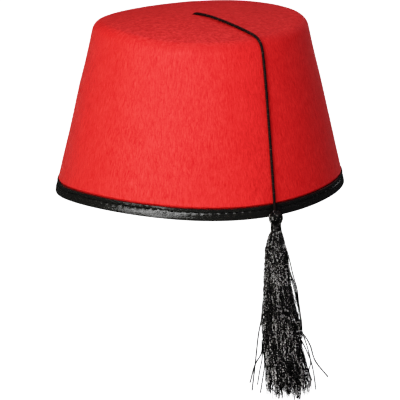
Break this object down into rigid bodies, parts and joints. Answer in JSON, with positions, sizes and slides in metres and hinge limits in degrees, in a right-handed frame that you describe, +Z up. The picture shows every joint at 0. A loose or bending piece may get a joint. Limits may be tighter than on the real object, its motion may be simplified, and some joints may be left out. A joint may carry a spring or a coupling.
{
  "type": "fez hat",
  "caption": "Brimless felt hat shaped as a truncated cone, worn on the head, with a folded binding round its rim and a cord that carries a tassel from the middle of its top.",
  "frame": {"origin": "middle of the head opening, on the mean plane of the rim, where a head holds the hat", "axes": "+Z up through the top, -Z out of the head opening, -Y the side that the cord and tassel come down, +X to the right of that side"},
  "size_m": [0.1896, 0.1942, 0.2346],
  "materials": {
    "felt": "pressed wool-like felt",
    "binding": "glossy black imitation leather",
    "cord": "thin braided cord",
    "tassel_thread": "shiny black thread"
  },
  "bodies": {
    "root": {"crown": "felt", "rim_binding": "binding", "hanging_cord": "cord", "cord_knot": "cord", "tassel": "tassel_thread", "neck_wrap": "tassel_thread"}
  },
  "joints": []
}
